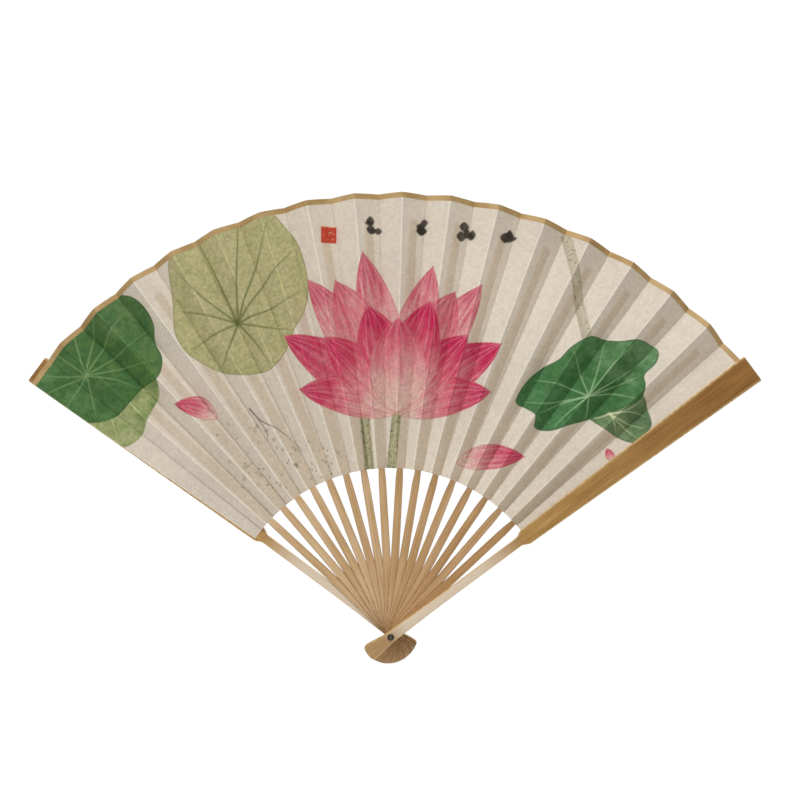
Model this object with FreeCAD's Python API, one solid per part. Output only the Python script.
import FreeCAD, Part
import math
import os

# Folding hand fan: sixteen bamboo ribs and two guards on one rivet, carrying a pleated paper leaf.
#
# The fan stands fully open in the XZ plane and is seen from the front along +Y.  The rivet's axis
# is Y and the origin is its middle.  Sticks are counted from the front guard (0, on the right) to
# the rear guard (on the left), and each lies one step further back than the one before.
# Every stick is drawn upright along Z in its own frame, then turned about Y into its place.
# Sizes are in millimetres and degrees.

# Whole fan
rib_count = 16
open_angle = 106.8            # between the two guards' centre lines
head_reach = 19.2             # rivet to every stick's near end

# Leaf: two sheets of paper pasted together over the rib blades, folded into panels
leaf_inner_radius = 112.2
leaf_outer_radius = 297.5
pleat_tilt = 32.4             # how far a panel leans out of the fan's plane when the fan is open
sheet_thickness = 0.10
binding_width = 3.5           # paper strip folded over the leaf's outer edge
crease_gap = 0.45             # between neighbouring panels' edges, across the crease
leaf_clearance = 0.10         # between folded panels

# Ribs: a head, a slim shank, and a thin blade that runs up between the sheets
blade_thickness = 0.35
blade_tip_margin = 18.5       # from the blade's tip to the leaf's outer edge
blade_foot_width = 4.6
blade_tip_width = 3.4
blade_joint_gap = 0.30        # from the shank's end to the blade's foot
rib_clearance = 0.10          # between neighbouring ribs
head_width = 11.2
head_flare = 0.6              # how much the head's sides bow out below the waist
waist_width = 7.2             # at the rivet
waist_taper = 0.4             # how fast the waist narrows just above the rivet
shank_width = 5.5             # where the gaps between the open ribs close
shank_width_radius = 50.0
shank_end_width = 4.9
head_corner = 3.0             # length of the head's rounded corners

# Guards: thick outer sticks that widen to cover the folded leaf
guard_thickness = 3.2
guard_overhang = 3.0          # past the leaf's outer edge
guard_stem_drop = 0.4         # the stem's outer face lies this much below the wide part's
guard_stem_width = 5.7
guard_neck_width = 6.0        # just below the shoulder
shoulder_width = 10.7
shoulder_length = 6.0
guard_margin = 0.25           # how far the guard stands past the folded leaf on each side
guard_edge_radius = 0.5

# Rivet: a pin with a head formed at each end
pin_radius = 1.25
pin_clearance = 0.05
rivet_head_radius = 2.25
rivet_head_height = 0.9
rivet_rim_height = 0.25
rivet_dimple_radius = 0.7
rivet_dimple_depth = 0.35
rivet_play = 0.05             # under the rear head, so that the sticks can turn

# Derived sizes
rear_guard = rib_count + 1
stick_step = open_angle / rear_guard
half_fold = stick_step / 4 / math.cos(math.radians(pleat_tilt))   # half a flat panel's angle
free_thickness = 2 * sheet_thickness
glued_thickness = free_thickness + blade_thickness
depth_step = glued_thickness + free_thickness + 2 * leaf_clearance
rib_thickness = depth_step - rib_clearance
middle_radius = (leaf_inner_radius + leaf_outer_radius) / 2
binding_radius = leaf_outer_radius - binding_width
blade_reach = leaf_outer_radius - blade_tip_margin
guard_reach = leaf_outer_radius + guard_overhang
edge_trim = math.degrees(crease_gap / 2 / middle_radius)
shank_end = leaf_inner_radius - blade_joint_gap
guard_end_width = 2 * (leaf_outer_radius * math.sin(math.radians(half_fold)) + guard_margin)

# A guard's faces, measured outwards from its stick's own plane
guard_recess_face = free_thickness / 2
guard_stem_face = rib_thickness / 2 + rib_clearance / 2 - depth_step
guard_outer_face = guard_stem_face + guard_thickness
guard_stem_outer_face = guard_outer_face - guard_stem_drop

ACROSS = FreeCAD.Vector(1, 0, 0)
BACK = FreeCAD.Vector(0, 1, 0)
ALONG = FreeCAD.Vector(0, 0, 1)
ORIGIN = FreeCAD.Vector(0, 0, 0)


def flat(x, z):
    """A point of a stick's outline, in its own upright frame."""
    return FreeCAD.Vector(x, 0, z)


def on_circle(radius, degrees):
    """A point at a radius from the rivet; positive degrees lean to the right."""
    return flat(radius * math.sin(math.radians(degrees)), radius * math.cos(math.radians(degrees)))


def bezier(*poles):
    curve = Part.BezierCurve()
    curve.setPoles(list(poles))
    return curve.toShape()


def line(a, b):
    return Part.LineSegment(a, b).toShape()


def arc(a, middle, b):
    return Part.Arc(a, middle, b).toShape()


def mirrored(edges):
    """The same edges on the other side of the centre line, in the order that closes the outline."""
    return [edge.mirror(ORIGIN, ACROSS) for edge in reversed(edges)]


def plate(edges, front, back):
    """A flat plate with this outline between two depths."""
    face = Part.Face(Part.Wire(Part.__sortEdges__(edges)))
    face.translate(BACK * front)
    return face.extrude(BACK * (back - front))


# Where things stand in the fan

def stick_angle(k):
    return open_angle / 2 - k * stick_step


def stick_depth(k):
    return (k - rear_guard / 2) * depth_step


def stick_place(k):
    """From a stick's upright frame to its place in the open fan."""
    return FreeCAD.Placement(BACK * stick_depth(k), FreeCAD.Rotation(BACK, stick_angle(k)))


def panel_tilt(k):
    """A glued panel leans with its left edge forwards, except where it is pasted on a guard."""
    return 0.0 if k in (0, rear_guard) else pleat_tilt


def panel_place(k):
    """From a glued panel's own frame to its place in the open fan."""
    return stick_place(k) * FreeCAD.Placement(ORIGIN, FreeCAD.Rotation(ALONG, panel_tilt(k)))


def crease(k):
    """The fold line between glued panel k and free panel k, in the glued panel's frame."""
    return BACK * (depth_step / 4), on_circle(1, -half_fold)


def free_panel_fold(k):
    """How far free panel k stands open from its folded place, and the angle it spans.

    It reaches the right-hand edge of the next glued panel at the leaf's outer edge, and stays one
    panel's thickness clear of a panel that is pasted on a guard.
    """
    start, along = crease(k)
    landing = free_thickness if k + 1 == rear_guard else 0
    reach = panel_place(k + 1).multVec(on_circle(leaf_outer_radius, half_fold) - BACK * landing)
    reach = panel_place(k).inverse().multVec(reach) - start
    sideways = BACK.cross(along)
    across = math.hypot(reach.dot(sideways), reach.dot(BACK))
    width = math.sqrt(across ** 2 - start.y ** 2)
    turned = math.atan2(reach.dot(BACK), reach.dot(sideways)) - math.atan2(start.y, width)
    return math.degrees(turned), math.degrees(math.atan2(width, reach.dot(along)))


def free_panel_place(k):
    """From free panel k's folded place, in the glued panel's frame, to its place in the open fan."""
    start, along = crease(k)
    opened, _ = free_panel_fold(k)
    unfold = FreeCAD.Placement(ORIGIN, FreeCAD.Rotation(along, opened), start)
    return panel_place(k) * unfold


def moved(shape, placement):
    copy = shape.copy()
    copy.Placement = placement.multiply(copy.Placement)
    return copy


# Sticks

def head_side():
    """The right-hand edge of a head, from the near end's middle to the rivet's height."""
    half = head_width / 2
    corner_angle = 180 - math.degrees(math.asin((half - head_corner / 2) / head_reach))
    corner_end = on_circle(head_reach, corner_angle)
    corner_start = flat(half, -head_reach + head_corner)
    near_end = arc(on_circle(head_reach, 180), on_circle(head_reach, (180 + corner_angle) / 2), corner_end)
    corner = bezier(corner_end, flat(half, corner_end.z), corner_start)
    flare = bezier(corner_start, flat(waist_width / 2 + head_flare, -head_reach / 3), flat(waist_width / 2, 0))
    return [near_end, corner, flare]


def stem_side(mid_width, end_width, end):
    """The right-hand edge from the rivet's height up a slim stem."""
    mid = flat(mid_width / 2, shank_width_radius)
    taper = bezier(flat(waist_width / 2, 0), flat(waist_width / 2 - waist_taper, head_reach / 2),
                   flat(mid_width / 2, shank_width_radius / 2), mid)
    return [taper, line(mid, flat(end_width / 2, end))]


def bored(stick):
    reach = rear_guard * depth_step + guard_thickness
    bore = Part.makeCylinder(pin_radius + pin_clearance, 2 * reach, BACK * -reach, BACK)
    return stick.cut(bore)


def rib():
    """Head and shank of one rib, up to the foot of its blade."""
    side = head_side() + stem_side(shank_width, shank_end_width, shank_end)
    end = line(flat(shank_end_width / 2, shank_end), flat(-shank_end_width / 2, shank_end))
    return bored(plate(side + [end] + mirrored(side), -rib_thickness / 2, rib_thickness / 2))


def guard_wide_part():
    """The part of a guard that covers the folded leaf, from the shoulder to the far end."""
    neck = leaf_inner_radius - shoulder_length
    shoulder = flat(shoulder_width / 2, leaf_inner_radius)
    half_end = guard_end_width / 2
    corner_angle = math.degrees(math.asin(half_end / guard_reach))
    corner = on_circle(guard_reach, corner_angle)
    flare = bezier(flat(guard_neck_width / 2, neck), flat(guard_neck_width / 2, neck + shoulder_length / 2),
                   flat(shoulder_width / 2, leaf_inner_radius - shoulder_length / 2), shoulder)
    side = [flare, line(shoulder, corner)]
    far_end = arc(corner, flat(0, guard_reach), on_circle(guard_reach, -corner_angle))
    neck_line = line(flat(guard_neck_width / 2, neck), flat(-guard_neck_width / 2, neck))
    return plate(side + [far_end, neck_line] + mirrored(side), -guard_outer_face, -guard_recess_face)


def guard_stem():
    """The slim part of a guard, from its head to the shoulder."""
    neck = leaf_inner_radius - shoulder_length
    side = head_side() + stem_side(guard_stem_width, guard_neck_width, neck)
    end = line(flat(guard_neck_width / 2, neck), flat(-guard_neck_width / 2, neck))
    return plate(side + [end] + mirrored(side), -guard_stem_outer_face, -guard_stem_face)


def rounded_outer_edges(guard):
    """Round the edges of a guard's wide outer face, but not its step down to the stem."""
    neck = guard.BoundBox.ZMin
    edges = [e for e in guard.Edges if abs(e.BoundBox.YMin + guard_outer_face) < 1e-6
             and abs(e.BoundBox.YMax + guard_outer_face) < 1e-6
             and e.BoundBox.ZMax > neck + shoulder_length / 2]
    return guard.makeFillet(guard_edge_radius, edges)


def guard():
    """The front guard in its own frame; the rear one is its mirror image."""
    whole = rounded_outer_edges(guard_wide_part()).fuse(guard_stem()).removeSplitter()
    return bored(whole)


# Leaf

def sector(start, end, inner, outer, front, back):
    """A flat piece of the leaf between two angles and two radii, trimmed beside its creases."""
    start, end = start + edge_trim, end - edge_trim
    middle = (start + end) / 2
    edges = [
        line(on_circle(inner, start), on_circle(outer, start)),
        arc(on_circle(outer, start), on_circle(outer, middle), on_circle(outer, end)),
        line(on_circle(outer, end), on_circle(inner, end)),
        arc(on_circle(inner, end), on_circle(inner, middle), on_circle(inner, start)),
    ]
    return plate(edges, front, back)


def leaf_strip(start, end, front, back):
    """Paper and edge binding of one panel, as two solids that meet."""
    paper = sector(start, end, leaf_inner_radius, binding_radius, front, back)
    binding = sector(start, end, binding_radius, leaf_outer_radius, front, back)
    return paper, binding


def blade():
    """The thin upper end of a rib, between the two sheets."""
    foot, tip = blade_foot_width / 2, blade_tip_width / 2
    corners = [flat(-foot, leaf_inner_radius), flat(-tip, blade_reach),
               flat(tip, blade_reach), flat(foot, leaf_inner_radius)]
    edges = [line(a, b) for a, b in zip(corners, corners[1:] + corners[:1])]
    return plate(edges, -blade_thickness / 2, blade_thickness / 2)


def glued_panel(k):
    """Panel k with the blade of rib k inside, or pasted flat on a guard."""
    if k in (0, rear_guard):
        paper, binding = leaf_strip(-half_fold, half_fold, -free_thickness / 2, free_thickness / 2)
        return moved(Part.makeCompound([paper, binding]), panel_place(k))
    paper, binding = leaf_strip(-half_fold, half_fold, -glued_thickness / 2, glued_thickness / 2)
    inside = blade()
    return moved(Part.makeCompound([paper.cut(inside), binding, inside]), panel_place(k))


def free_panel(k):
    """Panel k between two sticks, folded behind glued panel k when the fan is closed."""
    _, span = free_panel_fold(k)
    middle = depth_step / 2
    strip = leaf_strip(-half_fold, span - half_fold, middle - free_thickness / 2, middle + free_thickness / 2)
    return moved(Part.makeCompound(list(strip)), free_panel_place(k))


# Rivet

def rivet_head(seat, outwards):
    """Half outline of a head: a raised ring round a dimple.  outwards is -1 at the front, 1 behind."""
    def at(radius, height):
        return FreeCAD.Vector(radius, seat + outwards * height, 0)
    rim = at(rivet_head_radius, rivet_rim_height)
    crown_radius = (rivet_head_radius + rivet_dimple_radius) / 2
    dimple = at(rivet_dimple_radius, rivet_head_height - rivet_dimple_depth)
    crown = arc(rim, at(crown_radius, rivet_head_height), dimple)
    return [line(at(pin_radius, 0), at(rivet_head_radius, 0)), line(at(rivet_head_radius, 0), rim),
            crown, line(dimple, at(0, rivet_head_height - rivet_dimple_depth))]


def rivet():
    seat = stick_depth(rear_guard) + guard_stem_outer_face
    front, rear = -seat, seat + rivet_play
    tip = rivet_head_height - rivet_dimple_depth
    edges = rivet_head(front, -1) + rivet_head(rear, 1)
    edges.append(line(FreeCAD.Vector(pin_radius, front, 0), FreeCAD.Vector(pin_radius, rear, 0)))
    edges.append(line(FreeCAD.Vector(0, front - tip, 0), FreeCAD.Vector(0, rear + tip, 0)))
    face = Part.Face(Part.Wire(Part.__sortEdges__(edges)))
    return face.revolve(ORIGIN, BACK, 360)


def export(name, shape):
    shape.exportStep(f"parts/{name}.step")
    print(f"{name}: {len(shape.Solids)} solids, {shape.Volume:.1f} mm3, valid {shape.isValid()}")


def build():
    os.makedirs("parts", exist_ok=True)
    export("front_guard", moved(guard(), stick_place(0)))
    export("rear_guard", moved(guard().mirror(ORIGIN, BACK), stick_place(rear_guard)))
    export("rivet", rivet())
    for k in range(1, rear_guard):
        export(f"rib_{k:02d}", moved(rib(), stick_place(k)))
    for k in range(rear_guard + 1):
        export(f"glued_panel_{k:02d}", glued_panel(k))
    for k in range(rear_guard):
        export(f"free_panel_{k:02d}", free_panel(k))


build()
